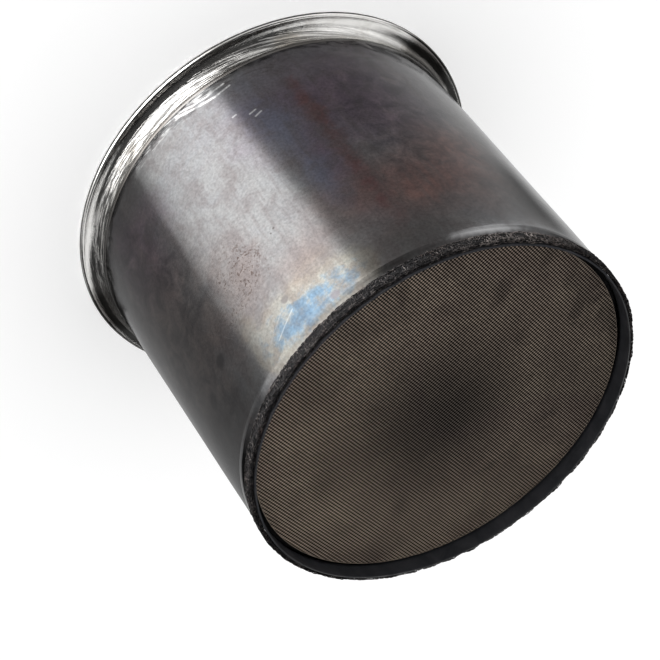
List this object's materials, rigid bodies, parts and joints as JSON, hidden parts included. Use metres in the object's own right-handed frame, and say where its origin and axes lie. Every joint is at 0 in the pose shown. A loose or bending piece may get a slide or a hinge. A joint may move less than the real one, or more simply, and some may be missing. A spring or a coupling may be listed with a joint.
{
  "type": "diesel particulate filter",
  "caption": "Round canned exhaust filter: plugged ceramic honeycomb in a stainless shell, flared V-band flange at one end, collar with a knitted wire gasket at the other.",
  "frame": {"origin": "on the filter's axis, in the plane of the flange's turned edge on which it stands", "axes": "+Z along the axis from the flange to the outlet face; X and Y along the rows of honeycomb channels"},
  "size_m": [0.3771, 0.3772, 0.3161],
  "materials": {
    "shell_steel": "heat-tinted stainless sheet",
    "flange_steel": "bright stainless",
    "weld": "straw-tinted weld bead",
    "honeycomb": "matt, stained by soot",
    "mat": "ceramic fibre",
    "wire_seal": "sooty knitted wire",
    "gasket_wire": "sooty knitted wire",
    "ring_steel": "dull stainless"
  },
  "bodies": {
    "root": {"shell": "shell_steel", "v_band_flange": "flange_steel", "flange_weld": "weld", "seam_weld": "weld", "substrate": "honeycomb", "support_mat": "mat", "front_mat_seal": "wire_seal", "rear_mat_seal": "wire_seal", "rear_retaining_ring": "ring_steel", "mesh_gasket": "gasket_wire"}
  },
  "joints": []
}
